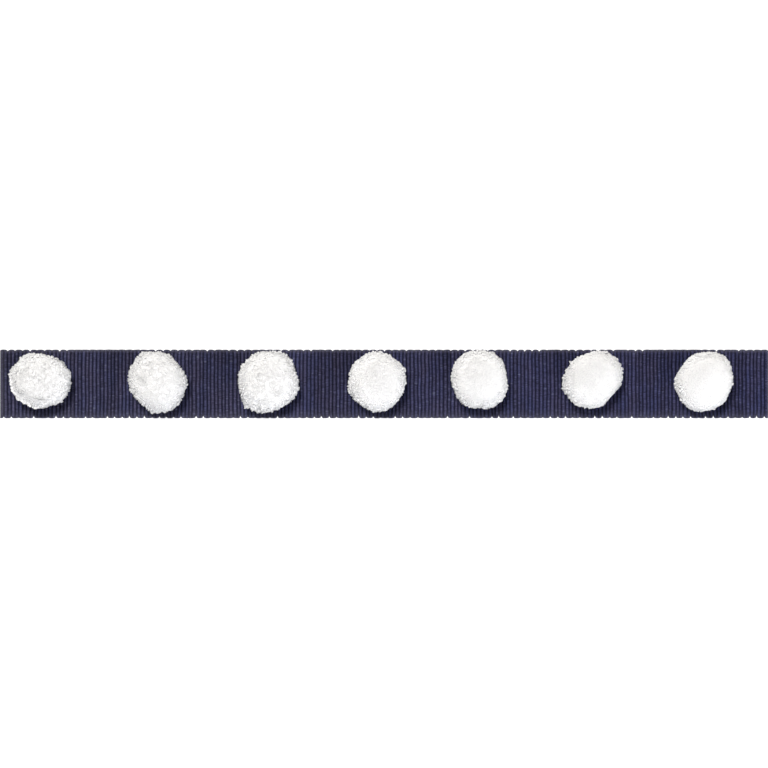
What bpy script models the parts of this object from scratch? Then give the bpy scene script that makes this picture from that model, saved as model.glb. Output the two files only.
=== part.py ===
"""Pompom trim: a straight, flat length of ribbed ribbon with seven cut-pile pompoms on its face.

The ribbon lies along X with its underside on z = 0 and its face up. The pompoms stand in a row
along its middle, each on a small flat seat. Lengths are in metres, angles in degrees.
"""

import random
from math import cos, exp, pi, radians, sin, sqrt
from typing import NamedTuple

import bmesh
import bpy
from mathutils import Matrix, Vector

MM = 0.001

# Ribbon: thick weft ribs across it, closed two by two by a weft loop at each selvage.
RIB_PITCH = 1.192 * MM
RIB_COUNT = 208
RIBS_PER_LOOP = 2
TAPE_LENGTH = RIB_COUNT * RIB_PITCH
TAPE_WIDTH = 22.0 * MM
TAPE_THICKNESS = 1.0 * MM
RIB_RELIEF = 0.28 * MM
SELVAGE_WIDTH = 0.6 * MM
SELVAGE_THICKNESS = 0.62 * MM
LOOP_DEPTH = 0.30 * MM
LOOP_UNEVENNESS = 0.35
SELVAGE_SEED = 7

# Pompoms: a ball of pile, squashed flat where it is fixed to the ribbon.
SEAT_GAP = 0.3 * MM
SEAT_Z = TAPE_THICKNESS + SEAT_GAP
SEAT_DROP = 8.0 * MM
LOCK_CLEARANCE = 0.2 * MM
CROWN_RADIUS = 9.4 * MM
LOCK_LENGTH = 2.4 * MM
LOCK_UNEVENNESS = 0.18 * MM
LOCK_LEAN = 0.06
CORNER_UNEVENNESS = 0.09
LATTICE_TWIST = 24

# The ball's 42 cells are the skin of a box of 3 x 3 x 2 cells, blown up round.
BOX_CELLS = 3
BOX_LAYERS = 2
BOX_HALF_HEIGHT = 0.667
EDGE_INNER = 0.27
TOP_INNER = 0.20
SEAT_INNER = 0.27

SHARP_ANGLE = 50
TAPE_COLOUR = (0.030, 0.030, 0.060, 1.0)
POMPOM_COLOUR = (0.86, 0.86, 0.87, 1.0)


class RibPoint(NamedTuple):
    """A point of one rib's profile: how far along the rib and how high, as shares."""

    along: float
    lift: float


RIB_PROFILE = (
    RibPoint(along=0.00, lift=0.0),
    RibPoint(along=0.28, lift=1.0),
    RibPoint(along=0.72, lift=1.0),
)


class LockRing(NamedTuple):
    """A section of a lock of pile: its height over the ball's surface and the width it keeps."""

    rise: float
    keep: float


LOCK_RINGS = (
    LockRing(rise=-0.40 * MM, keep=0.94),
    LockRing(rise=-0.05 * MM, keep=0.82),
    LockRing(rise=0.12 * MM, keep=0.50),
)


class Swelling(NamedTuple):
    """A fuller or, with a negative rise, a thinner place of a ball's outline."""

    bearing: float
    lift: float
    rise: float
    spread: float


class Pompom(NamedTuple):
    """One pompom: where it stands, its oval in plan and the bearing of its long side."""

    x: float
    y: float
    long_side: float
    short_side: float
    turn: float
    swellings: tuple


POMPOMS = (
    Pompom(-110.6 * MM, 1.1 * MM, 20.4 * MM, 18.0 * MM, -10, (
        Swelling(bearing=20, lift=5, rise=0.3 * MM, spread=18),
        Swelling(bearing=70, lift=10, rise=-0.3 * MM, spread=18),
        Swelling(bearing=315, lift=0, rise=0.4 * MM, spread=16),
        Swelling(bearing=340, lift=0, rise=-0.4 * MM, spread=14),
    )),
    Pompom(-72.9 * MM, 0.7 * MM, 20.8 * MM, 18.0 * MM, 120, (
        Swelling(bearing=5, lift=0, rise=0.4 * MM, spread=16),
        Swelling(bearing=110, lift=10, rise=0.4 * MM, spread=16),
        Swelling(bearing=230, lift=0, rise=-0.4 * MM, spread=18),
        Swelling(bearing=325, lift=5, rise=-0.8 * MM, spread=18),
    )),
    Pompom(-37.5 * MM, 0.6 * MM, 20.6 * MM, 19.6 * MM, 60, (
        Swelling(bearing=20, lift=0, rise=-0.5 * MM, spread=16),
        Swelling(bearing=190, lift=5, rise=-0.8 * MM, spread=18),
        Swelling(bearing=230, lift=0, rise=0.9 * MM, spread=18),
        Swelling(bearing=295, lift=0, rise=-0.6 * MM, spread=24),
        Swelling(bearing=340, lift=0, rise=0.9 * MM, spread=18),
    )),
    Pompom(-2.4 * MM, 0.8 * MM, 19.4 * MM, 19.0 * MM, 90, (
        Swelling(bearing=25, lift=0, rise=0.5 * MM, spread=18),
        Swelling(bearing=240, lift=0, rise=-0.4 * MM, spread=18),
        Swelling(bearing=270, lift=0, rise=0.5 * MM, spread=14),
        Swelling(bearing=315, lift=5, rise=-0.4 * MM, spread=18),
    )),
    Pompom(30.5 * MM, 1.1 * MM, 19.4 * MM, 18.4 * MM, 115, (
        Swelling(bearing=5, lift=0, rise=-0.5 * MM, spread=16),
        Swelling(bearing=50, lift=5, rise=0.6 * MM, spread=20),
        Swelling(bearing=145, lift=0, rise=0.3 * MM, spread=24),
        Swelling(bearing=270, lift=0, rise=-0.6 * MM, spread=16),
    )),
    Pompom(66.9 * MM, 1.4 * MM, 20.4 * MM, 17.2 * MM, 40, (
        Swelling(bearing=100, lift=0, rise=-0.4 * MM, spread=14),
        Swelling(bearing=125, lift=0, rise=0.4 * MM, spread=14),
        Swelling(bearing=180, lift=5, rise=0.4 * MM, spread=18),
        Swelling(bearing=280, lift=0, rise=0.5 * MM, spread=18),
        Swelling(bearing=325, lift=5, rise=-0.6 * MM, spread=20),
    )),
    Pompom(102.7 * MM, 0.9 * MM, 20.2 * MM, 18.3 * MM, 55, (
        Swelling(bearing=10, lift=0, rise=-0.3 * MM, spread=22),
        Swelling(bearing=45, lift=5, rise=0.6 * MM, spread=16),
        Swelling(bearing=85, lift=0, rise=-0.3 * MM, spread=16),
        Swelling(bearing=170, lift=0, rise=0.3 * MM, spread=16),
        Swelling(bearing=215, lift=5, rise=-0.3 * MM, spread=18),
    )),
)


def clear_scene():
    """Remove whatever the open file holds."""
    for obj in list(bpy.data.objects):
        bpy.data.objects.remove(obj, do_unlink=True)


def cloth_material(name, colour, roughness):
    """A plain cloth material of one colour."""
    material = bpy.data.materials.new(name)
    material.use_nodes = True
    shader = material.node_tree.nodes["Principled BSDF"]
    shader.inputs["Base Color"].default_value = colour
    shader.inputs["Roughness"].default_value = roughness
    shader.inputs["Metallic"].default_value = 0.0
    return material


def add_object(name, bm, material, parent, location=(0.0, 0.0, 0.0)):
    """Turn a bmesh into a named, smoothly shaded object with its material, under its parent."""
    bmesh.ops.recalc_face_normals(bm, faces=bm.faces)
    mesh = bpy.data.meshes.new(name)
    bm.to_mesh(mesh)
    bm.free()
    mesh.shade_smooth()
    mesh.set_sharp_from_angle(angle=radians(SHARP_ANGLE))
    mesh.materials.append(material)
    obj = bpy.data.objects.new(name, mesh)
    bpy.context.scene.collection.objects.link(obj)
    obj.parent = parent
    obj.location = location
    return obj


def half_width_at(loop_share, depth):
    """The ribbon's half width at a share of a weft loop: full at its middle, drawn in at its ends."""
    return TAPE_WIDTH / 2 - depth * (1 - sin(pi * loop_share))


def tape_section(x, lift, low_half, high_half):
    """The points of the ribbon's cross-section at x, round from its lower edge at -Y."""
    top = TAPE_THICKNESS - RIB_RELIEF * (1 - lift)
    return (
        Vector((x, -low_half, 0.0)),
        Vector((x, high_half, 0.0)),
        Vector((x, high_half, SELVAGE_THICKNESS)),
        Vector((x, high_half - SELVAGE_WIDTH, top)),
        Vector((x, -low_half + SELVAGE_WIDTH, top)),
        Vector((x, -low_half, SELVAGE_THICKNESS)),
    )


def tape_sections():
    """Every cross-section along the ribbon, three for each rib and one to end it."""
    rng = random.Random(SELVAGE_SEED)
    depths = [
        [LOOP_DEPTH * rng.uniform(1 - LOOP_UNEVENNESS, 1 + LOOP_UNEVENNESS) for _ in range(2)]
        for _ in range(RIB_COUNT // RIBS_PER_LOOP)
    ]
    sections = []
    for rib in range(RIB_COUNT):
        loop, place = divmod(rib, RIBS_PER_LOOP)
        low_depth, high_depth = depths[loop]
        for point in RIB_PROFILE:
            x = (rib + point.along) * RIB_PITCH - TAPE_LENGTH / 2
            share = (place + point.along) / RIBS_PER_LOOP
            sections.append(tape_section(
                x, point.lift, half_width_at(share, low_depth), half_width_at(share, high_depth)
            ))
    end_half = half_width_at(0.0, LOOP_DEPTH)
    sections.append(tape_section(TAPE_LENGTH / 2, RIB_PROFILE[0].lift, end_half, end_half))
    return sections


def build_tape(parent, material):
    """The ribbon as one closed solid: sections joined along its length, and two square cut ends."""
    bm = bmesh.new()
    rings = [[bm.verts.new(point) for point in section] for section in tape_sections()]
    for ring, following in zip(rings, rings[1:]):
        for corner in range(len(ring)):
            after = (corner + 1) % len(ring)
            bm.faces.new((ring[corner], ring[after], following[after], following[corner]))
    bm.faces.new(rings[0])
    bm.faces.new(rings[-1])
    return add_object("tape", bm, material, parent)


def box_cells():
    """The cells of the box's skin, each as its four lattice corners in order round it."""
    far, top = BOX_CELLS, BOX_LAYERS
    cells = []
    for i in range(BOX_CELLS):
        for j in range(BOX_CELLS):
            for k in (0, top):
                cells.append(((i, j, k), (i + 1, j, k), (i + 1, j + 1, k), (i, j + 1, k)))
        for k in range(BOX_LAYERS):
            for side in (0, far):
                cells.append(((i, side, k), (i + 1, side, k), (i + 1, side, k + 1), (i, side, k + 1)))
                cells.append(((side, i, k), (side, i + 1, k), (side, i + 1, k + 1), (side, i, k + 1)))
    return cells


def is_inner(index):
    """True for a lattice line that runs inside a side of the box."""
    return 0 < index < BOX_CELLS


def is_seat_corner(corner):
    """True for the four lattice corners round the seat."""
    i, j, k = corner
    return k == 0 and is_inner(i) and is_inner(j)


def corner_direction(corner, lay, rng):
    """The direction from the ball's middle to a lattice corner, turned to the ball's lay and uneven."""
    i, j, k = corner
    inner = EDGE_INNER
    if is_inner(i) and is_inner(j):
        inner = TOP_INNER if k == BOX_LAYERS else SEAT_INNER
    steps = (-1.0, -inner, inner, 1.0)
    direction = Vector((steps[i], steps[j], (k / BOX_LAYERS * 2 - 1) * BOX_HALF_HEIGHT)).normalized()
    direction.rotate(Matrix.Rotation(radians(lay + LATTICE_TWIST * direction.z), 3, "Z"))
    wander = Vector([rng.uniform(-CORNER_UNEVENNESS, CORNER_UNEVENNESS) for _ in range(3)])
    if is_seat_corner(corner):
        wander.z = 0.0
    return (direction + wander).normalized()


def direction_from(bearing, lift):
    """The unit vector at a bearing in plan and a lift over the level."""
    level = cos(radians(lift))
    return Vector((level * cos(radians(bearing)), level * sin(radians(bearing)), sin(radians(lift))))


def surface_radius(pompom, direction):
    """How far the pile reaches from the ball's middle in a direction."""
    long_axis = direction_from(pompom.turn, 0)
    short_axis = direction_from(pompom.turn + 90, 0)
    along = direction.dot(long_axis) / (pompom.long_side / 2)
    across = direction.dot(short_axis) / (pompom.short_side / 2)
    radius = 1 / sqrt(along ** 2 + across ** 2 + (direction.z / CROWN_RADIUS) ** 2)
    for swelling in pompom.swellings:
        apart = direction.angle(direction_from(swelling.bearing, swelling.lift))
        radius += swelling.rise * exp(-((apart / radians(swelling.spread)) ** 2))
    return radius


def root_point(pompom, corner, direction):
    """Where the locks round a lattice corner have their roots: deep in the ball, or on its seat."""
    if is_seat_corner(corner):
        return direction * (SEAT_DROP / -direction.z)
    return direction * (surface_radius(pompom, direction) - LOCK_LENGTH)


def pile_point(pompom, direction, rise):
    """A point of the pile at a rise over the ball's surface, kept a little above the seat."""
    reach = surface_radius(pompom, direction) + rise
    if direction.z < 0:
        reach = min(reach, (SEAT_DROP - LOCK_CLEARANCE) / -direction.z)
    return direction * reach


def grow_lock(bm, face, pompom, rng):
    """Draw one cell's face out into a lock of pile that narrows to a blunt, leaning tip."""
    middle = sum((vert.co.normalized() for vert in face.verts), Vector()).normalized()
    lean = Vector([rng.uniform(-LOCK_LEAN, LOCK_LEAN) for _ in range(3)])
    uneven = rng.uniform(-LOCK_UNEVENNESS, LOCK_UNEVENNESS)
    for step, ring in enumerate(LOCK_RINGS):
        face = bmesh.ops.extrude_discrete_faces(bm, faces=[face])["faces"][0]
        towards = (middle + lean * step).normalized()
        for vert in face.verts:
            direction = towards.lerp(vert.co.normalized(), ring.keep).normalized()
            vert.co = pile_point(pompom, direction, ring.rise + uneven)


def build_pompom(number, pompom, parent, material):
    """One pompom: a ball whose cells are drawn out into locks, but for the seat under it."""
    rng = random.Random(number)
    bm = bmesh.new()
    verts = {}
    locks = []
    lay = rng.uniform(0, 90)
    for cell in box_cells():
        for corner in cell:
            if corner not in verts:
                direction = corner_direction(corner, lay, rng)
                verts[corner] = bm.verts.new(root_point(pompom, corner, direction))
        face = bm.faces.new([verts[corner] for corner in cell])
        if not all(is_seat_corner(corner) for corner in cell):
            locks.append(face)
    bmesh.ops.recalc_face_normals(bm, faces=bm.faces)
    for face in locks:
        grow_lock(bm, face, pompom, rng)
    location = (pompom.x, pompom.y, SEAT_Z + SEAT_DROP)
    return add_object(f"pompom_{number}", bm, material, parent, location)


def main():
    """Build the trim under one empty at its origin."""
    clear_scene()
    trim = bpy.data.objects.new("pompom_trim", None)
    bpy.context.scene.collection.objects.link(trim)
    build_tape(trim, cloth_material("navy_ribbed_ribbon", TAPE_COLOUR, roughness=0.75))
    for number, pompom in enumerate(POMPOMS, start=1):
        pile = cloth_material(f"white_pile_{number}", POMPOM_COLOUR, roughness=0.95)
        build_pompom(number, pompom, trim, pile)


main()
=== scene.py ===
"""Pompom trim, dressed: a navy ribbed ribbon with seven white cut-pile pompoms in a row on its face.

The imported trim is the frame. Every piece made here stands for one of its solids and keeps that solid's
place. Lengths are in metres and written as so many MM. Angles are in degrees: a bearing turns from +X
towards +Y, and a lift rises from the level.
"""

import logging
import math
from dataclasses import dataclass
from enum import Enum

import bmesh
import bpy
import numpy as np
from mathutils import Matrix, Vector


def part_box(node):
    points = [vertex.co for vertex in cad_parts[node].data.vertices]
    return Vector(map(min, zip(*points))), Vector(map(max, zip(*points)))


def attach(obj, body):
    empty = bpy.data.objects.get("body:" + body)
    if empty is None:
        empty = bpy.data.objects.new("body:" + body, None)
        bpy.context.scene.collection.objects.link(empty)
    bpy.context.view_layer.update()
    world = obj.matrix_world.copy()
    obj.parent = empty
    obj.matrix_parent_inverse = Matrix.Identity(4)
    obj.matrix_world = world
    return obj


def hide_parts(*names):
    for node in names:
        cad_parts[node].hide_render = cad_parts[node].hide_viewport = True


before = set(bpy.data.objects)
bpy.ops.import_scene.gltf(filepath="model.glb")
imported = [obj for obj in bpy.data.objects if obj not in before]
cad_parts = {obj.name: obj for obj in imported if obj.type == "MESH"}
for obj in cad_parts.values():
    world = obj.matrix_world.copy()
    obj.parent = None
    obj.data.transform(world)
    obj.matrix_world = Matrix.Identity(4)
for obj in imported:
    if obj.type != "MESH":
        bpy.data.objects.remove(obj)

MM = 0.001
BODY = "root"
BAKE_MAP = "OFBake"
RIB_COUNT = 208
GOLDEN_TURN = math.pi * (3 - math.sqrt(5))
RIPPLE_RATES = (0.7, 1.4)
LEAST_LENGTH = 1e-6

Colour = tuple[float, float, float]
Spot = tuple[float, float]
Socket = bpy.types.NodeSocket
Outputs = bpy.types.bpy_prop_collection

log = logging.getLogger("pompom_trim")


class Slot(Enum):
    """Material slots, one for the ribbon and one for the pompoms."""

    RIBBON = "ribbon"
    POMPOM = "pompom"


class Edge(Enum):
    """The ribbon's two selvages, by the side of the middle that they are on."""

    LOW = -1
    HIGH = 1


# ---- Sums that several pieces use ----


def smooth_step(values: np.ndarray) -> np.ndarray:
    """Values held between 0 and 1, with a soft start and end."""
    held = np.clip(values, 0, 1)
    return held * held * (3 - 2 * held)


def unit(vectors: np.ndarray) -> np.ndarray:
    """The same directions at length 1."""
    return vectors / np.linalg.norm(vectors, axis=-1, keepdims=True)


def direction_at(bearing: float, lift: float) -> np.ndarray:
    """The unit vector at a bearing and a lift, in degrees."""
    turn, rise = math.radians(bearing), math.radians(lift)
    return np.array((math.cos(rise) * math.cos(turn), math.cos(rise) * math.sin(turn), math.sin(rise)))


def ripples(places: np.ndarray, wavelength: float, rng: np.random.Generator, waves: int = 20) -> np.ndarray:
    """Make smooth, random hills and hollows.

    Args:
        places: points to read them at, one row each.
        wavelength: about how far apart the hills are.
        rng: the source of chance.
        waves: how many plain waves are added up.

    Returns:
        One value for each point, mostly between -1 and 1.
    """
    headings = unit(rng.normal(size=(waves, places.shape[1])))
    rates = headings * (2 * math.pi / wavelength) * rng.uniform(*RIPPLE_RATES, (waves, 1))
    starts = rng.uniform(0, 2 * math.pi, waves)
    return np.sin(places @ rates.T + starts).sum(axis=1) * math.sqrt(1 / waves)


def softer_least(first: np.ndarray, second: np.ndarray, softness: float) -> np.ndarray:
    """Take the smaller of two values, with a rounded change from one to the other.

    Args:
        first: some values.
        second: as many more.
        softness: over how large a difference the change is rounded.

    Returns:
        The smaller value of each pair, or a little less where the two are nearly equal.
    """
    return -softness * np.logaddexp(-first / softness, -second / softness)


def even_directions(count: int, unevenness: float, rng: np.random.Generator) -> np.ndarray:
    """Spread directions evenly over a ball, each a little off its place.

    Args:
        count: how many.
        unevenness: how far off, as a share of the distance between neighbours.
        rng: the source of chance.

    Returns:
        Unit vectors, one row each.
    """
    steps = np.arange(count) + 0.5
    height = 1 - 2 * steps / count
    level = np.sqrt(1 - height**2)
    turn = steps * GOLDEN_TURN
    directions = np.stack((level * np.cos(turn), level * np.sin(turn), height), axis=1)
    apart = math.sqrt(4 * math.pi / count)
    return unit(directions + rng.normal(scale=unevenness * apart, size=(count, 3)))


# ---- Meshes ----


@dataclass
class MeshData:
    """A mesh as arrays: its points, its faces and what it carries for its finish.

    Faces is a list of arrays, one for each number of corners. Marks are values for each point, by name.
    """

    points: np.ndarray
    faces: list[np.ndarray]
    marks: dict[str, np.ndarray]
    bake_places: np.ndarray

    def build(self, name: str, material: bpy.types.Material) -> bpy.types.Object:
        """Turn the arrays into a smoothly shaded object.

        Args:
            name: the object's name.
            material: its only material.

        Returns:
            The object, linked to the scene.
        """
        mesh = bpy.data.meshes.new(name)
        mesh.vertices.add(len(self.points))
        mesh.vertices.foreach_set("co", self.points.astype(np.float32).ravel())
        corners = np.concatenate([group.ravel() for group in self.faces])
        counts = np.concatenate([np.full(len(group), group.shape[1]) for group in self.faces])
        mesh.loops.add(len(corners))
        mesh.loops.foreach_set("vertex_index", corners.astype(np.int32))
        mesh.polygons.add(len(counts))
        mesh.polygons.foreach_set("loop_start", (np.cumsum(counts) - counts).astype(np.int32))
        mesh.update(calc_edges=True)
        for mark, values in self.marks.items():
            self.write_mark(mesh, mark, values)
        layer = mesh.uv_layers.new(name=BAKE_MAP)
        layer.uv.foreach_set("vector", self.bake_places.astype(np.float32).ravel())
        mesh.shade_smooth()
        mesh.materials.append(material)
        obj = bpy.data.objects.new(name, mesh)
        bpy.context.scene.collection.objects.link(obj)
        return obj

    @staticmethod
    def write_mark(mesh: bpy.types.Mesh, name: str, values: np.ndarray) -> None:
        """Store one value, or one vector, for each point of a mesh.

        Args:
            mesh: the mesh.
            name: what its material calls the mark.
            values: a flat array, or one of three columns.
        """
        wide = values.ndim == 2
        attribute = mesh.attributes.new(name, "FLOAT_VECTOR" if wide else "FLOAT", "POINT")
        attribute.data.foreach_set("vector" if wide else "value", values.astype(np.float32).ravel())


# ---- Materials ----


class Wiring:
    """Adds nodes to a shader tree and joins them."""

    COLUMN = 190

    # Where a mix node has its two colours and their mixture.
    MIX_FIRST, MIX_SECOND, MIX_RESULT = 6, 7, 2

    def __init__(self, tree: bpy.types.NodeTree) -> None:
        """Start on a tree."""
        self.tree = tree

    def add(self, kind: str, sockets: dict | None = None, **settings: object) -> bpy.types.Node:
        """Add a node.

        Args:
            kind: the node's type.
            sockets: for each input, by name or number, a value or the output that feeds it.
            **settings: the node's own settings.

        Returns:
            The node.
        """
        node = self.tree.nodes.new(kind)
        node.location.x = self.COLUMN * len(self.tree.nodes)
        for name, value in settings.items():
            setattr(node, name, value)
        self.feed(node, sockets or {})
        return node

    def feed(self, node: bpy.types.Node, sockets: dict) -> None:
        """Fill a node's inputs.

        Args:
            node: the node.
            sockets: for each input, by name or number, a value or the output that feeds it.
        """
        for name, value in sockets.items():
            if isinstance(value, Socket):
                self.tree.links.new(value, node.inputs[name])
            else:
                node.inputs[name].default_value = value

    def math(self, operation: str, first: Socket | float, second: Socket | float = 0.0) -> Socket:
        """The result of a sum on one or two values."""
        return self.add("ShaderNodeMath", {0: first, 1: second}, operation=operation).outputs[0]

    def mark(self, name: str, output: str = "Fac") -> Socket:
        """A mark that the mesh carries, as a value, or with output "Vector" as a vector."""
        return self.add("ShaderNodeAttribute", attribute_name=name).outputs[output]

    def mixed(self, share: Socket | float, first: Socket | Colour, second: Socket | Colour) -> Socket:
        """Mix two colours.

        Args:
            share: 0 for the first colour and 1 for the second.
            first: the first colour.
            second: the second colour.

        Returns:
            The colour between them.
        """
        sockets = {0: share}
        for place, colour in ((self.MIX_FIRST, first), (self.MIX_SECOND, second)):
            sockets[place] = colour if isinstance(colour, Socket) else (*colour, 1.0)
        return self.add("ShaderNodeMix", sockets, data_type="RGBA").outputs[self.MIX_RESULT]

    def ranged(self, value: Socket, low: float, high: float, to_low: float, to_high: float) -> Socket:
        """A value taken from one range to another, and held inside it."""
        sockets = {"Value": value, "From Min": low, "From Max": high, "To Min": to_low, "To Max": to_high}
        return self.add("ShaderNodeMapRange", sockets).outputs["Result"]


def new_material(name: str) -> tuple[bpy.types.Material, Wiring, bpy.types.Node]:
    """Start a material.

    Args:
        name: its name.

    Returns:
        The material, the wiring of its tree and its shader.
    """
    material = bpy.data.materials.new(name)
    material.use_nodes = True
    shader = material.node_tree.nodes["Principled BSDF"]
    return material, Wiring(material.node_tree), shader


def new_group(name: str, inputs: dict[str, object], outputs: dict[str, str]) -> tuple[object, ...]:
    """Start a shader group with named sockets.

    Args:
        name: the group's name.
        inputs: for each input its value to start with, three numbers for a colour.
        outputs: for each output its socket type.

    Returns:
        The group, its wiring, the outputs of its input node and its output node.
    """
    group = bpy.data.node_groups.new(name, "ShaderNodeTree")
    for label, value in inputs.items():
        is_colour = isinstance(value, tuple)
        kind = "NodeSocketColor" if is_colour else "NodeSocketFloat"
        socket = group.interface.new_socket(label, in_out="INPUT", socket_type=kind)
        socket.default_value = (*value, 1.0) if is_colour else value
    for label, kind in outputs.items():
        group.interface.new_socket(label, in_out="OUTPUT", socket_type=kind)
    wiring = Wiring(group)
    entry = wiring.add("NodeGroupInput")
    return group, wiring, entry.outputs, wiring.add("NodeGroupOutput")


def make_hollow_shade_and_tone() -> bpy.types.NodeTree:
    """Make the colour of thread or fibre: painted shade in its hollows, each thread of its own tone.

    Returns:
        A group that gives "Colour" from "Hollow" and "Outer" colours, "Height" from 0 in a hollow to 1
        outside, "Tone" from 0 to 1 for each thread, and "Spread", by how much the tones differ.
    """
    inputs = {"Hollow": (0, 0, 0), "Outer": (1, 1, 1), "Height": 1.0, "Tone": 0.5, "Spread": 0.1}
    group, wiring, given, result = new_group("hollow_shade_and_tone", inputs, {"Colour": "NodeSocketColor"})
    colour = wiring.mixed(given["Height"], given["Hollow"], given["Outer"])
    off_middle = wiring.math("SUBTRACT", given["Tone"], 0.5)
    gain = wiring.math("ADD", wiring.math("MULTIPLY", off_middle, given["Spread"]), 1.0)
    toned = wiring.add("ShaderNodeVectorMath", {0: colour, "Scale": gain}, operation="SCALE")
    wiring.feed(result, {"Colour": toned.outputs["Vector"]})
    return group


@dataclass(frozen=True)
class RibbonFinish:
    """Navy weave: warp ends over thick weft ribs, with painted shade between them and greyer on the rim.

    The mesh carries "weave", which counts ribs along the ribbon and warp ends across it, "height" from 0
    between the ribs to 1 on them, and "rim", which is highest on the selvages. Drift and fuzz are cloudy
    patterns, each with its number of clouds to a rib and to a warp end. The tone shares are those of the
    warp ends, the ribs and the fuzz.
    """

    # Painted shade: hollow is the colour between the ribs and between the warp ends, where shade falls.
    hollow: Colour = (0.0024, 0.0025, 0.0096)
    blue_crown: Colour = (0.0410, 0.0448, 0.1010)
    purple_crown: Colour = (0.0510, 0.0480, 0.0910)
    rim: Colour = (0.0720, 0.0700, 0.0940)
    rim_cover: float = 0.70
    fleck: Colour = (0.0780, 0.0800, 0.1300)
    fleck_share: float = 0.06
    # Painted light: a tint that runs from the left end to the right, paler and warmer where more light
    # falls.
    left_painted_light: Colour = (1.22, 1.22, 1.12)
    right_painted_light: Colour = (0.90, 0.93, 1.05)
    drift: tuple[float, float] = (0.35, 0.03)
    drift_range: tuple[float, float] = (0.35, 0.65)
    fuzz: tuple[float, float] = (3.4, 1.1)
    fuzz_range: tuple[float, float] = (0.25, 0.75)
    tone_shares: tuple[float, float, float] = (0.27, 0.15, 0.58)
    tone_spread: float = 2.35
    crown_sharpness: float = 1.75
    between_ends: float = 0.55
    roughness: float = 0.62
    hollow_roughness: float = 0.82
    gloss: float = 0.22
    gloss_tint: Colour = (0.70, 0.66, 1.0)
    relief: float = 0.06 * MM

    def material(self, hollow_shade_and_tone: bpy.types.NodeTree) -> bpy.types.Material:
        """Wire the weave.

        Args:
            hollow_shade_and_tone: the shared shade group.

        Returns:
            The material.
        """
        material, wiring, shader = new_material("navy_ribbon_weave")
        place = wiring.add("ShaderNodeSeparateXYZ", {0: wiring.mark("weave", "Vector")}).outputs
        height = wiring.mark("height")
        rib = wiring.math("FLOOR", place["X"])
        stagger = wiring.math("FRACT", wiring.math("MULTIPLY", rib, 0.5))
        across = wiring.math("ADD", place["Y"], stagger)
        end_swell = wiring.math("ABSOLUTE", wiring.math("SINE", wiring.math("MULTIPLY", across, math.pi)))
        end_tone = self.chance(wiring, rib, wiring.math("FLOOR", across))
        covered = wiring.math("MULTIPLY", height, wiring.ranged(end_swell, 0, 1, self.between_ends, 1))
        # Painted shade: the Hollow colour darkens the weave between the ribs and between the warp ends.
        thread = {
            "Hollow": (*self.hollow, 1.0),
            "Outer": self.crown_colour(wiring, place, end_tone),
            "Height": wiring.math("POWER", covered, self.crown_sharpness),
            "Tone": self.thread_tone(wiring, place, rib, end_tone),
            "Spread": self.tone_spread,
        }
        shade = wiring.add("ShaderNodeGroup", thread, node_tree=hollow_shade_and_tone)
        rim_share = wiring.math("MULTIPLY", wiring.mark("rim"), self.rim_cover)
        swell = wiring.math("MULTIPLY", end_swell, height)
        bump = wiring.add("ShaderNodeBump", {"Height": swell, "Distance": self.relief, "Strength": 1.0})
        looks = {
            "Base Color": wiring.mixed(rim_share, shade.outputs["Colour"], self.rim),
            "Roughness": wiring.ranged(covered, 0, 1, self.hollow_roughness, self.roughness),
            "Normal": bump.outputs["Normal"],
            "Specular IOR Level": self.gloss,
            "Specular Tint": (*self.gloss_tint, 1.0),
        }
        wiring.feed(shader, looks)
        return material

    def crown_colour(self, wiring: Wiring, place: Outputs, end_tone: Socket) -> Socket:
        """Colour the crowns of the ribs, from bluer to more purple, with a few pale flecks.

        Args:
            wiring: the material's wiring.
            place: the weave's place, with ribs in X and warp ends in Y.
            end_tone: the chance value of each warp end on each rib.

        Returns:
            The colour, with painted light that makes it a little warmer and paler to the left than to the
            right.
        """
        drift = wiring.ranged(self.cloud(wiring, place, *self.drift), *self.drift_range, 0, 1)
        crown = wiring.mixed(drift, self.blue_crown, self.purple_crown)
        fleck = wiring.ranged(end_tone, 1 - self.fleck_share, 1.0, 0.0, 1.0)
        crown = wiring.mixed(wiring.math("MULTIPLY", fleck, fleck), crown, self.fleck)
        # Painted light: the tint from left to right makes the ribbon paler and warmer to the left.
        along = wiring.ranged(place["X"], 0, RIB_COUNT, 0, 1)
        sockets = {0: crown, 1: wiring.mixed(along, self.left_painted_light, self.right_painted_light)}
        return wiring.add("ShaderNodeVectorMath", sockets, operation="MULTIPLY").outputs["Vector"]

    def thread_tone(self, wiring: Wiring, place: Outputs, rib: Socket, end_tone: Socket) -> Socket:
        """Give each warp end, each rib and the fuzz over them a tone of its own.

        Args:
            wiring: the material's wiring.
            place: the weave's place, with ribs in X and warp ends in Y.
            rib: the number of the rib.
            end_tone: the chance value of each warp end on each rib.

        Returns:
            The tone, from 0 to 1.
        """
        fuzz = wiring.ranged(self.cloud(wiring, place, *self.fuzz), *self.fuzz_range, 0, 1)
        values = (end_tone, self.chance(wiring, rib, 0.5), fuzz)
        total = 0.0
        for value, share in zip(values, self.tone_shares):
            sockets = {0: value, 1: share, 2: total}
            total = wiring.add("ShaderNodeMath", sockets, operation="MULTIPLY_ADD").outputs[0]
        return total

    @staticmethod
    def chance(wiring: Wiring, first: Socket, second: Socket | float) -> Socket:
        """Make a chance value for each pair of whole numbers.

        Args:
            wiring: the material's wiring.
            first: the first number.
            second: the second number.

        Returns:
            A value from 0 to 1.
        """
        cell = wiring.add("ShaderNodeCombineXYZ", {"X": first, "Y": second}).outputs[0]
        node = wiring.add("ShaderNodeTexWhiteNoise", {"Vector": cell}, noise_dimensions="3D")
        return node.outputs["Value"]

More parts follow.
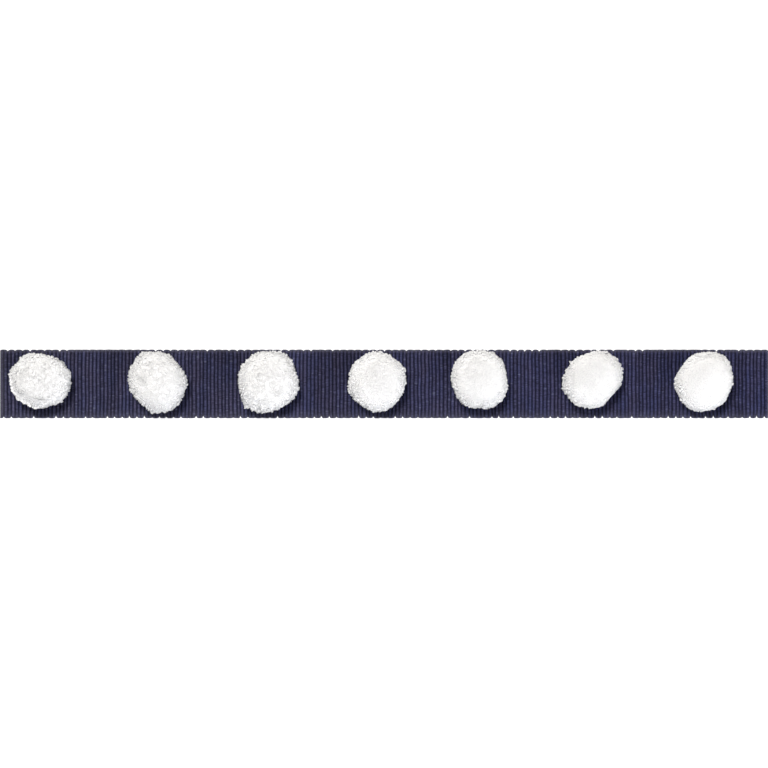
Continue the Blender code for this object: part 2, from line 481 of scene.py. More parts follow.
    @staticmethod
    def cloud(wiring: Wiring, place: Outputs, along: float, across: float) -> Socket:
        """Make a cloudy pattern over the weave.

        Args:
            wiring: the material's wiring.
            place: the weave's place, with ribs in X and warp ends in Y.
            along: how many clouds there are to a rib.
            across: how many there are to a warp end.

        Returns:
            A value from 0 to 1, mostly near 0.5.
        """
        rates = {"X": along, "Y": across}
        parts = {axis: wiring.math("MULTIPLY", place[axis], rate) for axis, rate in rates.items()}
        spread = wiring.add("ShaderNodeCombineXYZ", parts).outputs[0]
        noise = wiring.add("ShaderNodeTexNoise", {"Vector": spread, "Scale": 1.0, "Detail": 2.0})
        return noise.outputs["Fac"]


@dataclass(frozen=True)
class PileFinish:
    """White cut pile, bright at its tips, with painted shade greying its roots, each fibre of its own tone.

    The mesh carries "tip", from 0 at a fibre's root to 1 at its end, and "tone" from 0 to 1. A fibre has
    the full colour of its tip from full_height on.
    """

    # Painted shade: the roots' greyer colour stands for the shade deep in the pile.
    root: Colour = (0.832, 0.828, 0.842)
    tip: Colour = (0.895, 0.887, 0.878)
    tone_spread: float = 0.30
    full_height: float = 0.8
    roughness: float = 0.95
    gloss: float = 0.15
    sheen: float = 0.10

    def material(self, hollow_shade_and_tone: bpy.types.NodeTree) -> bpy.types.Material:
        """Wire the pile.

        Args:
            hollow_shade_and_tone: the shared shade group.

        Returns:
            The material.
        """
        material, wiring, shader = new_material("white_cut_pile")
        fibre = {
            "Hollow": (*self.root, 1.0),
            "Outer": (*self.tip, 1.0),
            "Height": wiring.ranged(wiring.mark("tip"), 0.0, self.full_height, 0.0, 1.0),
            "Tone": wiring.mark("tone"),
            "Spread": self.tone_spread,
        }
        shade = wiring.add("ShaderNodeGroup", fibre, node_tree=hollow_shade_and_tone)
        looks = {
            "Base Color": shade.outputs["Colour"],
            "Roughness": self.roughness,
            "Specular IOR Level": self.gloss,
            "Sheen Weight": self.sheen,
        }
        wiring.feed(shader, looks)
        return material


# ---- The ribbon ----


@dataclass(frozen=True)
class Selvage:
    """One selvage's row of weft loops, with a notch where two loops meet.

    The loops look rounder at a lower sharpness, and stand out by their fullness. A few of the notches
    are faint, and all of them are in the calm stretches of the ribbon's length. The rim's colour is
    as strong as its paleness.
    """

    first_notch: int
    notch: float
    sharpness: float
    fullness: float
    faint_share: float
    rim_width: float
    paleness: float
    calm_stretches: tuple[tuple[float, float], ...] = ()


SELVAGES = {
    Edge.LOW: Selvage(
        first_notch=1,
        notch=0.56 * MM,
        sharpness=5.5,
        fullness=0.10 * MM,
        faint_share=0.10,
        rim_width=1.9 * MM,
        paleness=0.72,
    ),
    Edge.HIGH: Selvage(
        first_notch=0,
        notch=0.43 * MM,
        sharpness=3.6,
        fullness=0.16 * MM,
        faint_share=0.16,
        rim_width=1.3 * MM,
        paleness=1.2,
        calm_stretches=((-102 * MM, -76 * MM), (84 * MM, 104 * MM)),
    ),
}


@dataclass
class Ribbon:
    """A straight length of grosgrain: round weft ribs across it, turned back in loops at its selvages.

    The ribs wander in long bends and waver in short ones, but lie straight at the cut ends and are free
    only from loose_ribs inwards. Each cut end reaches past its solid by its overhang, which fades within
    overhang_ribs. The low end is paler for the length of pale_end.
    """

    node: str = "tape"
    rib_count: int = RIB_COUNT
    steps_per_rib: int = 8
    ribs_per_loop: int = 2
    face_relief: float = 0.34 * MM
    back_relief: float = 0.18 * MM
    crown_roundness: float = 0.80
    back_lift: float = 0.02 * MM
    rim_round: float = 0.30 * MM
    edge_width: float = 0.60 * MM
    rim_thickness: float = 0.66
    rim_relief: float = 0.55
    warp_end: float = 0.36 * MM
    wander: float = 0.07 * MM
    wander_length: float = 9 * MM
    waver_share: float = 0.35
    waver_length: float = 3 * MM
    stretch: float = 0.35
    loose_ribs: float = 2.0
    pitch_unevenness: float = 0.05
    crown_unevenness: float = 0.05 * MM
    swell_length: float = 2.5 * MM
    notch_range: tuple[float, float] = (0.3, 1.6)
    most_held_in: float = 0.05 * MM
    held_in_loops: float = 1.7
    faint_depth: float = 0.25
    overhang: tuple[float, float] = (0.13 * MM, 0.0)
    overhang_ribs: float = 4
    pale_end: float = 2.4 * MM
    pale_share: float = 0.7
    bake_bands: int = 2
    bake_face_share: float = 0.66
    bake_end_strip: float = 0.012
    bake_end_share: tuple[float, float] = (0.95, 0.9)
    seed: int = 11

    # How far in from a selvage the points of a cross-section lie, on the face and on the back.
    FACE_INSETS = (0.0, 0.04 * MM, 0.11 * MM, 0.22 * MM, 0.40 * MM, 0.66 * MM, 1.15 * MM)
    BACK_INSETS = (0.08 * MM, 0.30 * MM, 1.0 * MM)
    FACE_MIDDLES = 10
    BACK_MIDDLES = 4

    def __post_init__(self) -> None:
        """Take the ribbon's size from its solid."""
        low, high = (Vector(corner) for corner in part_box(self.node))
        self.length = high.x - low.x
        self.width = high.y - low.y
        self.thickness = high.z - low.z
        self.pitch = self.length / self.rib_count
        self.rng = np.random.default_rng(self.seed)

    def build(self, material: bpy.types.Material) -> bpy.types.Object:
        """Args:
            material: its weave.

        Returns:
            The ribbon's object.
        """
        ribs = np.arange(self.rib_count * self.steps_per_rib + 1) / self.steps_per_rib
        halves = {edge: self.half_width(ribs, edge) for edge in Edge}
        face = self.across(self.FACE_INSETS, self.FACE_MIDDLES, halves)
        back = self.across(self.BACK_INSETS, self.BACK_MIDDLES, halves)
        across = np.concatenate((face, back[:, ::-1]), axis=1)
        on_face = np.arange(across.shape[1]) < face.shape[1]
        inset = self.inset_of(across, halves)
        crown = self.crown(ribs)[:, None] * np.ones_like(across)
        x = self.along(ribs, across)
        z = self.height_of(ribs, across, inset, crown, on_face)
        points = np.stack((x, across, z), axis=2).reshape(-1, 3)
        pale = self.pale_share * (1 - smooth_step((x + self.length / 2) / self.pale_end))
        rim = np.maximum(self.rim_of(across, halves), pale)
        weave = np.stack(
            (ribs[:, None] * np.ones_like(across), across / self.warp_end, np.zeros_like(across)), axis=2
        )
        marks = {"weave": weave.reshape(-1, 3), "height": crown.ravel(), "rim": rim.ravel()}
        faces = self.faces(len(ribs), across.shape[1])
        bake_places = self.bake_places(across.shape[1], face.shape[1], points, faces)
        ribbon = MeshData(points, faces, marks, bake_places).build("ribbon", material)
        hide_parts(self.node)
        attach(ribbon, BODY)
        return ribbon

    def half_width(self, ribs: np.ndarray, edge: Edge) -> np.ndarray:
        """How far out a selvage lies: full at the middle of each weft loop, notched where two meet.

        Args:
            ribs: places along the ribbon, counted in ribs.
            edge: which selvage. The two have their notches a rib apart.

        Returns:
            The half width at each place.
        """
        selvage = SELVAGES[edge]
        loops = self.rib_count // self.ribs_per_loop + 2
        depths = selvage.notch * self.rng.uniform(*self.notch_range, loops)
        notch_ribs = np.arange(loops) * self.ribs_per_loop - selvage.first_notch
        notches = notch_ribs * self.pitch - self.length / 2
        faint = self.rng.random(loops) < selvage.faint_share
        for start, end in selvage.calm_stretches:
            faint |= (notches > start) & (notches < end)
        depths[faint] *= self.faint_depth
        place = (ribs + selvage.first_notch) / self.ribs_per_loop
        nearest = np.rint(place).astype(int)
        closeness = 1 - 2 * np.abs(place - nearest)
        held_in = self.most_held_in * (0.5 + 0.5 * ripples(place[:, None], self.held_in_loops, self.rng))
        held_in = np.clip(held_in, 0, self.most_held_in)
        full = self.width / 2 + selvage.fullness
        return full - held_in - depths[nearest] * closeness**selvage.sharpness

    @staticmethod
    def across(insets: tuple[float, ...], middles: int, halves: dict[Edge, np.ndarray]) -> np.ndarray:
        """Where a cross-section's points lie from one selvage to the other.

        Args:
            insets: how far in the points near a selvage lie.
            middles: how many points lie evenly between those.
            halves: the half width at each place along the ribbon, for each selvage.

        Returns:
            A row for each place along the ribbon, a column for each point.
        """
        near = np.array(insets)
        low = -halves[Edge.LOW][:, None] + near
        high = halves[Edge.HIGH][:, None] - near[::-1]
        shares = np.arange(1, middles + 1) / (middles + 1)
        between = low[:, -1:] + (high[:, :1] - low[:, -1:]) * shares
        return np.concatenate((low, between, high), axis=1)

    @staticmethod
    def inset_of(across: np.ndarray, halves: dict[Edge, np.ndarray]) -> np.ndarray:
        """How far each point lies in from the nearer selvage."""
        return np.minimum(across + halves[Edge.LOW][:, None], halves[Edge.HIGH][:, None] - across)

    @staticmethod
    def rim_of(across: np.ndarray, halves: dict[Edge, np.ndarray]) -> np.ndarray:
        """How much of the rim's colour each point has: most at a selvage, none further in.

        Args:
            across: the points' places across the ribbon.
            halves: the half width at each place along it, for each selvage.

        Returns:
            A share for each point.
        """
        shares = []
        for edge, selvage in SELVAGES.items():
            inset = halves[edge][:, None] - edge.value * across
            shares.append(selvage.paleness * (1 - smooth_step(inset / selvage.rim_width)))
        return np.maximum(*shares)

    def crown(self, ribs: np.ndarray) -> np.ndarray:
        """The round profile of the ribs: 0 between two ribs and 1 on the middle of one."""
        return np.abs(np.sin(math.pi * ribs)) ** self.crown_roundness

    def along(self, ribs: np.ndarray, across: np.ndarray) -> np.ndarray:
        """Where each point lies along the ribbon: ribs of uneven width that wander a little.

        Args:
            ribs: places along the ribbon, counted in ribs.
            across: the points' places across it.

        Returns:
            The points' x.
        """
        numbers = np.arange(self.rib_count + 1)
        starts = numbers + self.rng.normal(scale=self.pitch_unevenness, size=len(numbers))
        uneven = np.interp(ribs, numbers, starts)[:, None]
        places = self.places(ribs, across, self.stretch)
        sway = ripples(places, self.wander_length, self.rng)
        sway += self.waver_share * ripples(places, self.waver_length, self.rng)
        ends = (ribs, self.rib_count - ribs)
        loose = smooth_step(np.minimum(*ends)[:, None] / self.loose_ribs)
        off = (uneven - ribs[:, None]) * self.pitch + self.wander * sway.reshape(across.shape)
        out_low, out_high = (
            share * smooth_step(1 - end / self.overhang_ribs) for share, end in zip(self.overhang, ends)
        )
        return ribs[:, None] * self.pitch - self.length / 2 + off * loose + (out_high - out_low)[:, None]

    def places(self, ribs: np.ndarray, across: np.ndarray, stretch: float = 1.0) -> np.ndarray:
        """List the points' places on the flat ribbon, for ripples to be read at.

        Args:
            ribs: places along the ribbon, counted in ribs.
            across: the points' places across it.
            stretch: a factor on the places along the ribbon.

        Returns:
            A row of two for each point.
        """
        along = ribs[:, None] * self.pitch * np.ones_like(across) * stretch
        return np.stack((along, across), axis=2).reshape(-1, 2)

    def height_of(
        self,
        ribs: np.ndarray,
        across: np.ndarray,
        inset: np.ndarray,
        crown: np.ndarray,
        on_face: np.ndarray,
    ) -> np.ndarray:
        """How high each point lies, with ribs on the face and the back and a rounded, thinner rim.

        Args:
            ribs: places along the ribbon, counted in ribs.
            across: the points' places across it.
            inset: how far in from the nearer selvage they are.
            crown: the ribs' profile at each point.
            on_face: for each column, whether it is on the face.

        Returns:
            The points' z.
        """
        sunk = self.crown_unevenness * self.rng.uniform(0, 1, self.rib_count + 1)[ribs.astype(int)][:, None]
        hills = ripples(self.places(ribs, across), self.swell_length, self.rng).reshape(across.shape)
        swell = self.crown_unevenness * (0.5 + 0.5 * hills)
        inward = smooth_step(inset / self.edge_width)
        relief_share = self.rim_relief + (1 - self.rim_relief) * inward
        face = self.thickness - np.clip(sunk + swell, 0, None) * 0.5
        face = face - self.face_relief * (1 - crown) * relief_share
        back = self.back_lift + self.back_relief * (1 - crown) * relief_share
        rounding = np.clip(inset / self.rim_round, 0, 1)
        round_share = np.sqrt(1 - (1 - rounding) ** 2)
        thin_share = self.rim_thickness + (1 - self.rim_thickness) * inward
        middle = (face + back) / 2
        half = (face - back) / 2 * round_share * thin_share
        return np.where(on_face, middle + half, middle - half)

    @staticmethod
    def faces(sections: int, ring: int) -> list[np.ndarray]:
        """Join the cross-sections into one closed skin.

        Args:
            sections: how many there are.
            ring: how many points each has.

        Returns:
            The skin's faces of four corners, and its two cut ends.
        """
        first = np.arange(sections - 1)[:, None] * ring
        point, after = np.arange(ring), (np.arange(ring) + 1) % ring
        quads = np.stack((first + point, first + ring + point, first + ring + after, first + after), axis=2)
        ends = np.stack((np.arange(ring), (sections - 1) * ring + np.arange(ring)[::-1]))
        return [quads.reshape(-1, 4), ends]

    def bake_places(
        self, ring: int, face_ring: int, points: np.ndarray, faces: list[np.ndarray]
    ) -> np.ndarray:
        """Lay the skin out flat, cut into bands that lie one above the other.

        Args:
            ring: how many points a cross-section has.
            face_ring: how many of them are on the face.
            points: the ribbon's points.
            faces: its faces.

        Returns:
            A place for each corner of each face.
        """
        steps = self.rib_count * self.steps_per_rib
        step = np.repeat(np.arange(steps), ring)
        point = np.tile(np.arange(ring), steps)
        band_steps = steps // self.bake_bands
        band = step // band_steps
        first = (step % band_steps) / band_steps
        second = first + 1 / band_steps
        on_face = point < face_ring - 1
        face_share, back_share = self.bake_face_share, 1 - self.bake_face_share
        low = np.where(
            on_face,
            point / (face_ring - 1) * face_share,
            face_share + (point - face_ring + 1) / (ring - face_ring + 1) * back_share,
        )
        tall = np.where(on_face, face_share / (face_ring - 1), back_share / (ring - face_ring + 1))
        height = (1 - self.bake_end_strip) / self.bake_bands
        low, high = (band + low) * height, (band + low + tall) * height
        corners = np.stack((first, low, second, low, second, high, first, high), axis=1).reshape(-1, 2)
        cut = points[faces[1].ravel()]
        width_share, height_share = self.bake_end_share
        end_across = 0.5 + cut[:, 1] / self.width * width_share
        end_up = 1 - self.bake_end_strip * (1 - height_share * cut[:, 2] / self.thickness)
        return np.concatenate((corners, np.stack((end_across, end_up), axis=1)))


# ---- The pompoms ----


@dataclass(frozen=True)
class Swelling:
    """A fuller or, with a negative rise, a thinner place of a pompom."""

    bearing: float
    lift: float
    rise: float
    spread: float


@dataclass(frozen=True)
class Snip:
    """A flat place, where the scissors took a slice off a pompom's side, and how far out it lies."""

    bearing: float
    reach: float


@dataclass(frozen=True)
class Parting:
    """A line along which the pile parts, from one bearing and lift to another.

    A negative depth makes a fold that stands out instead. The fibres are painted darker along a parting, as
    shade, and lighter along a fold, as painted light.
    """

    start: tuple[float, float]
    end: tuple[float, float]
    depth: float
    width: float


def swellings_at(*rows: tuple[float, float, float, float]) -> tuple[Swelling, ...]:
    """Swellings, from rows of bearing, lift, rise in MM and spread."""
    return tuple(Swelling(bearing, lift, rise * MM, spread) for bearing, lift, rise, spread in rows)


def tufts_at(*rows: tuple[float, float, float]) -> tuple[Swelling, ...]:
    """Narrow swellings of the outline, from rows of bearing, rise in MM and spread."""
    return tuple(Swelling(bearing, 0, rise * MM, spread) for bearing, rise, spread in rows)


def frays_at(*rows: tuple[float, float, float, float]) -> tuple[Swelling, ...]:
    """Places with more or less ragged pile, from rows of bearing, lift, change as a share and spread."""
    return tuple(Swelling(*row) for row in rows)


def snips_at(*rows: tuple[float, float]) -> tuple[Snip, ...]:
    """Snips, from rows of bearing and reach in MM."""
    return tuple(Snip(bearing, reach * MM) for bearing, reach in rows)


def partings_at(*rows: tuple[Spot, Spot, float, float]) -> tuple[Parting, ...]:
    """Partings, from rows of start and end as bearing and lift, depth in MM and width in MM."""
    return tuple(Parting(start, end, depth * MM, width * MM) for start, end, depth, width in rows)


@dataclass(frozen=True)
class Pile:
    """How the yarn is cut: tapered fibre ends, gathered in tufts, that stand on a soft core.

    Fibres of middling rise end outline_excess inside the outline, so that only the longest reach it. The
    pile is smoother, shorter and more even in tone where it is less ragged. A pompom's crown starts at
    crown_start of its radius above its middle. Ranges called held are limits to a value.
    """

    fibres: int = 28_500
    fibre_scatter: float = 0.28
    fibre_height: float = 0.62 * MM
    fibre_height_range: tuple[float, float] = (0.85, 1.2)
    fibre_radius: tuple[float, float] = (0.16 * MM, 0.25 * MM)
    fibre_unevenness: float = 0.080 * MM
    fibre_lean: float = 0.14
    outline_excess: float = 0.40 * MM
    hidden_depth: float = 0.9 * MM
    smooth_share: float = 0.4
    height_held: tuple[float, float] = (0.5, 1.1)
    parted_lean: float = 0.7
    parted_reach: float = 1.6
    # Painted shade: how much darker a parting's fibres are for each MM of its depth; a fold's are painted
    # lighter.
    parted_shade: float = 1.1 / MM
    parting_steps: int = 24
    tufts: int = 2_400
    tuft_scatter: float = 0.35
    tuft_unevenness: float = 0.225 * MM
    tuft_gather: float = 0.42
    gather_held: tuple[float, float] = (0.3, 1.2)
    stray_share: float = 0.06
    stray_rise: float = 0.60 * MM
    stray_range: tuple[float, float] = (0.3, 1.0)
    rise_held: tuple[float, float] = (-0.35 * MM, 0.65 * MM)
    sway: float = 0.08
    sway_length: float = 3.2 * MM
    lump: float = 0.085 * MM
    lump_length: float = 2.0 * MM
    tuft_tone: float = 0.08
    fibre_tone: float = 0.06
    cloud_tone: float = 0.07
    cloud_length: float = 5 * MM
    tone_spread_held: tuple[float, float] = (0.4, 1.3)
    tone_held: tuple[float, float] = (0.04, 0.96)
    crown_start: float = 0.45
    crown_fade: float = 0.4
    core_depth: float = 0.80 * MM
    core_steps: int = 4
    snip_softness: float = 0.12 * MM
    least_facing: float = 0.2
    facets: int = 26
    facet_scatter: float = 0.3
    facet_depth: tuple[float, float] = (0.010, 0.035)
    facet_least_rise: float = 0.45

    # The marks of a fibre's three foot corners and its end, then the middle and the range of the core's.
    FIBRE_TIPS = (0.0, 0.02, 0.05, 1.0)
    FIBRE_TONES = (-0.02, 0.0, 0.02, 0.0)
    CORE_TIPS = (0.04, 0.03)
    CORE_TONES = (0.5, 0.33)
    BAKE_MARGIN = 0.01


PILE = Pile()


@dataclass
class Pompom:
    """One pompom: a ball of cut pile, squashed flat where it is fixed to the ribbon.

    Its swellings and its facets shape the whole ball, its snips square off its sides, and its tufts are
    narrow swellings that stand on all of these. Its pile is as uneven as it is ragged, more or less so in
    its frays, and less so on its crown by crown_calm. Its paleness is painted light, which makes all of
    its fibres lighter. Its middle lies solid_seat_drop above its solid's seat, and its own seat seat_drop
    below its middle.
    """

    number: int
    shift: tuple[float, float]
    long_side: float
    short_side: float
    turn: float
    swellings: tuple[Swelling, ...]
    snips: tuple[Snip, ...]
    tufts: tuple[Swelling, ...]
    partings: tuple[Parting, ...] = ()
    frays: tuple[Swelling, ...] = ()
    ragged: float = 1.0
    crown_calm: float = 0.70
    # Painted light: a lift to the tone of all of the pompom's fibres.
    paleness: float = 0.0
    crown: float = 9.4 * MM
    seat_drop: float = 8.24 * MM
    solid_seat_drop: float = 8.0 * MM
    first_seed: int = 100

    def __post_init__(self) -> None:
        """Take the pompom's place from its solid, and choose its facets."""
        self.node = f"pompom_{self.number}"
        low, high = (Vector(corner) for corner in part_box(self.node))
        middle = (low + high) / 2
        off_x, off_y = self.shift
        self.centre = np.array((middle.x + off_x, middle.y + off_y, low.z + self.solid_seat_drop))
        self.rng = np.random.default_rng(self.first_seed + self.number)
        facets = even_directions(PILE.facets, PILE.facet_scatter, self.rng)
        self.facets = facets[np.abs(facets[:, 2]) > PILE.facet_least_rise]
        depths = self.rng.uniform(*PILE.facet_depth, len(self.facets))
        self.facet_reaches = self.oval(self.facets) * (1 - depths)

    def oval(self, directions: np.ndarray) -> np.ndarray:
        """How far the plain oval ball reaches.

        Args:
            directions: unit vectors, one row each.

        Returns:
            The reach in each direction.
        """
        along = directions @ direction_at(self.turn, 0) / (self.long_side / 2)
        across = directions @ direction_at(self.turn + 90, 0) / (self.short_side / 2)
        return 1 / np.sqrt(along**2 + across**2 + (directions[:, 2] / self.crown) ** 2)

    def reach(self, directions: np.ndarray) -> np.ndarray:
        """How far the pile reaches from the ball's middle.

        Args:
            directions: unit vectors, one row each.

        Returns:
            The reach in each direction.
        """
        reach = self.oval(directions) + self.swelling_of(directions, self.swellings)
        flats = [(direction_at(snip.bearing, 0), snip.reach) for snip in self.snips]
        for facing, flat_reach in flats + list(zip(self.facets, self.facet_reaches)):
            limit = flat_reach / np.maximum(directions @ facing, PILE.least_facing)
            reach = softer_least(reach, limit, PILE.snip_softness)
        reach = reach + self.swelling_of(directions, self.tufts)
        for parting in self.partings:
            distance = self.from_parting(directions, parting)[0]
            reach = reach - parting.depth * np.exp(-((distance / parting.width) ** 2))
        return reach

    @staticmethod
    def swelling_of(directions: np.ndarray, swellings: tuple[Swelling, ...]) -> np.ndarray:
        """Add up swellings.

        Args:
            directions: unit vectors, one row each.
            swellings: the swellings.

        Returns:
            The rise in each direction.
        """
        rise = np.zeros(len(directions))
        for swelling in swellings:
            cosine = directions @ direction_at(swelling.bearing, swelling.lift)
            apart = np.degrees(np.arccos(np.clip(cosine, -1, 1)))
            rise += swelling.rise * np.exp(-((apart / swelling.spread) ** 2))
        return rise

    def raggedness(self, directions: np.ndarray) -> np.ndarray:
        """How unevenly the pile is cut: calmer on the crown, and changed in the pompom's frays.

        Args:
            directions: unit vectors, one row each.

        Returns:
            A factor on the unevenness in each direction.
        """
        calm = self.crown_calm * smooth_step((directions[:, 2] - PILE.crown_start) / PILE.crown_fade)
        return self.ragged * (1 - calm) * (1 + self.swelling_of(directions, self.frays))

    def from_parting(self, directions: np.ndarray, parting: Parting) -> tuple[np.ndarray, np.ndarray]:
        """How far directions are from a parting.

        Args:
            directions: unit vectors, one row each.
            parting: the parting.

        Returns:
            The distance over the ball, and the unit vectors that lead away from the parting.
        """
        shares = np.linspace(0, 1, PILE.parting_steps)[:, None]
        line = unit(direction_at(*parting.start) * (1 - shares) + direction_at(*parting.end) * shares)
        nearest = line[np.argmax(directions @ line.T, axis=1)]
        away = directions - nearest
        distance = np.linalg.norm(away, axis=1)
        return distance * self.crown, away / np.maximum(distance, LEAST_LENGTH)[:, None]

    @staticmethod
    def nearest_tuft(directions: np.ndarray, tufts: np.ndarray, parts: int = 8) -> np.ndarray:
        """The number of the nearest tuft to each direction, found for a part of them at a time."""
        found = [np.argmax(part @ tufts.T, axis=1) for part in np.array_split(directions, parts)]
        return np.concatenate(found)

    def seated(self, points: np.ndarray) -> np.ndarray:
        """Hold points of the ball up at its seat.

        Args:
            points: places measured from the ball's middle.

        Returns:
            The same places, none below the seat.
        """
        held = points.copy()
        held[:, 2] = np.maximum(held[:, 2], -self.seat_drop)
        return held

    def fibre_ends(self) -> tuple[np.ndarray, np.ndarray, np.ndarray]:
        """Set out the fibres.

        Returns:
            Their roots, their tips and their tones, from 0 to 1.
        """
        directions = even_directions(PILE.fibres, PILE.fibre_scatter, self.rng)
        under_seat = self.reach(directions) * -directions[:, 2] > self.seat_drop + PILE.hidden_depth
        directions = directions[~under_seat]
        middles = even_directions(PILE.tufts, PILE.tuft_scatter, self.rng)
        tuft = self.nearest_tuft(directions, middles)
        ragged = self.raggedness(directions)
        rise = self.rises(directions, tuft, ragged)
        lean = self.leans(directions)
        gather = PILE.tuft_gather * np.clip(ragged, *PILE.gather_held)
        gathered = unit(directions + gather[:, None] * (middles[tuft] - directions))
        excess = PILE.outline_excess * self.roughened(self.ragged)
        tips = gathered * (self.reach(gathered) - excess + np.clip(rise, *PILE.rise_held))[:, None]
        height = PILE.fibre_height * np.clip(self.roughened(ragged), *PILE.height_held)
        height = height * self.rng.uniform(*PILE.fibre_height_range, len(directions))
        roots = tips - unit(gathered + lean) * height[:, None]
        tone = self.tones(directions, tuft, ragged)
        return self.seated(roots), self.seated(tips), np.clip(tone, *PILE.tone_held)

    @staticmethod
    def roughened(ragged: float | np.ndarray) -> float | np.ndarray:
        """A factor that grows with raggedness, from the share that smooth pile keeps."""
        return PILE.smooth_share + (1 - PILE.smooth_share) * ragged

    def rises(self, directions: np.ndarray, tuft: np.ndarray, ragged: np.ndarray) -> np.ndarray:
        """How far the fibres stand out: tuft by tuft, fibre by fibre and in soft lumps.

        Args:
            directions: the fibres' directions.
            tuft: the number of each fibre's tuft.
            ragged: how unevenly each is cut.

        Returns:
            A rise for each fibre.
        """
        tuft_rise = PILE.tuft_unevenness * self.rng.normal(size=PILE.tufts)
        strays = self.rng.random(PILE.tufts) < PILE.stray_share
        tuft_rise[strays] += PILE.stray_rise * self.rng.uniform(*PILE.stray_range, strays.sum())
        rise = tuft_rise[tuft] + PILE.fibre_unevenness * self.rng.normal(size=len(directions))
        rise *= ragged
        return rise + PILE.lump * ripples(directions * self.crown, PILE.lump_length, self.rng)

    def leans(self, directions: np.ndarray) -> np.ndarray:
        """How the fibres lean: each its own way, swayed together, and away from the partings.

        Args:
            directions: the fibres' directions.

        Returns:
            A vector for each fibre, to add to its direction.
        """
        lean = PILE.fibre_lean * self.rng.normal(size=directions.shape)
        for axis in range(3):
            lean[:, axis] += PILE.sway * ripples(directions * self.crown, PILE.sway_length, self.rng)
        for parting in self.partings:
            distance, away = self.from_parting(directions, parting)
            nearness = np.exp(-((distance / parting.width / PILE.parted_reach) ** 2))
            lean += PILE.parted_lean * away * nearness[:, None]
        return lean

    def tones(self, directions: np.ndarray, tuft: np.ndarray, ragged: np.ndarray) -> np.ndarray:
        """How light the fibres are, by tuft, fibre and cloud, with painted shade in the partings.

        Args:
            directions: the fibres' directions.
            tuft: the number of each fibre's tuft.
            ragged: how unevenly each is cut.

        Returns:
            A tone for each fibre.
        """
        tone = PILE.tuft_tone * self.rng.normal(size=PILE.tufts)[tuft]
        tone += PILE.fibre_tone * self.rng.normal(size=len(directions))
        # The pompom's paleness is painted light that lifts every fibre's tone.
        tone = 0.5 + self.paleness + tone * np.clip(ragged, *PILE.tone_spread_held)
        clouds = ripples(directions * self.crown, PILE.cloud_length, self.rng)
        tone += PILE.cloud_tone * self.ragged**2 * clouds
        # Painted shade darkens the fibres along a parting; a fold, with its negative depth, is painted
        # lighter instead.
        for parting in self.partings:
            distance = self.from_parting(directions, parting)[0]
            tone -= PILE.parted_shade * parting.depth * np.exp(-((distance / parting.width) ** 2))
        return tone

    def fibre_mesh(self) -> tuple[np.ndarray, np.ndarray, np.ndarray, np.ndarray]:
        """Make each fibre end a closed spike on a three-cornered foot.

        Returns:
            Points, faces, tip marks and tones.
        """
        roots, tips, tone = self.fibre_ends()
        count = len(roots)
        heading = unit(tips - roots + np.array((0, 0, LEAST_LENGTH / 10)))
        side = unit(np.cross(heading, unit(self.rng.normal(size=(count, 3)))))
        other = np.cross(heading, side)
        radius = self.rng.uniform(*PILE.fibre_radius, count)[:, None]
        points = np.empty((count, 4, 3))
        for corner in range(3):
            turn = corner * 2 * math.pi / 3
            points[:, corner] = roots + radius * (math.cos(turn) * side + math.sin(turn) * other)
        points[:, 3] = tips
        points = self.seated(points.reshape(-1, 3))
        faces = np.array(((0, 2, 1), (0, 1, 3), (1, 2, 3), (2, 0, 3)))
        faces = (np.arange(count)[:, None, None] * 4 + faces).reshape(-1, 3)
        lift = np.tile(PILE.FIBRE_TIPS, count)
        tones = (tone[:, None] + np.array(PILE.FIBRE_TONES)).ravel()
        return points, faces, lift, tones

    def core_mesh(self) -> tuple[np.ndarray, np.ndarray, np.ndarray, np.ndarray]:
        """Make the soft core that the fibres stand on.

        Returns:
            Points, faces, tip marks and tones.
        """
        bm = bmesh.new()
        bmesh.ops.create_icosphere(bm, subdivisions=PILE.core_steps, radius=1.0)
        directions = unit(np.array([vert.co for vert in bm.verts]))
        faces = np.array([[vert.index for vert in face.verts] for face in bm.faces])
        bm.free()
        points = self.seated(directions * (self.reach(directions) - PILE.core_depth)[:, None])
        tip_middle, tip_range = PILE.CORE_TIPS
        tone_middle, tone_range = PILE.CORE_TONES
        # The core's low tip marks give it the roots' painted shade.
        lift = tip_middle + tip_range * directions[:, 1]
        return points, faces, lift, tone_middle + tone_range * directions[:, 0]

    def build(self, material: bpy.types.Material) -> bpy.types.Object:
        """Args:
            material: its pile.

        Returns:
            The pompom's object.
        """
        core, fibres = self.core_mesh(), self.fibre_mesh()
        core_points, core_faces = len(core[0]), len(core[1])
        points, faces, lift, tones = (np.concatenate(pair) for pair in zip(core, fibres))
        faces[core_faces:] += core_points
        points += self.centre
        bake_lift = PILE.BAKE_MARGIN + (1 - 2 * PILE.BAKE_MARGIN) * lift
        bake_places = np.stack((tones, bake_lift), axis=1)[faces.ravel()]
        data = MeshData(points, [faces], {"tip": lift, "tone": tones}, bake_places)
        pompom = data.build(f"pile_{self.number}", material)
        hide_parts(self.node)
        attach(pompom, BODY)
        return pompom
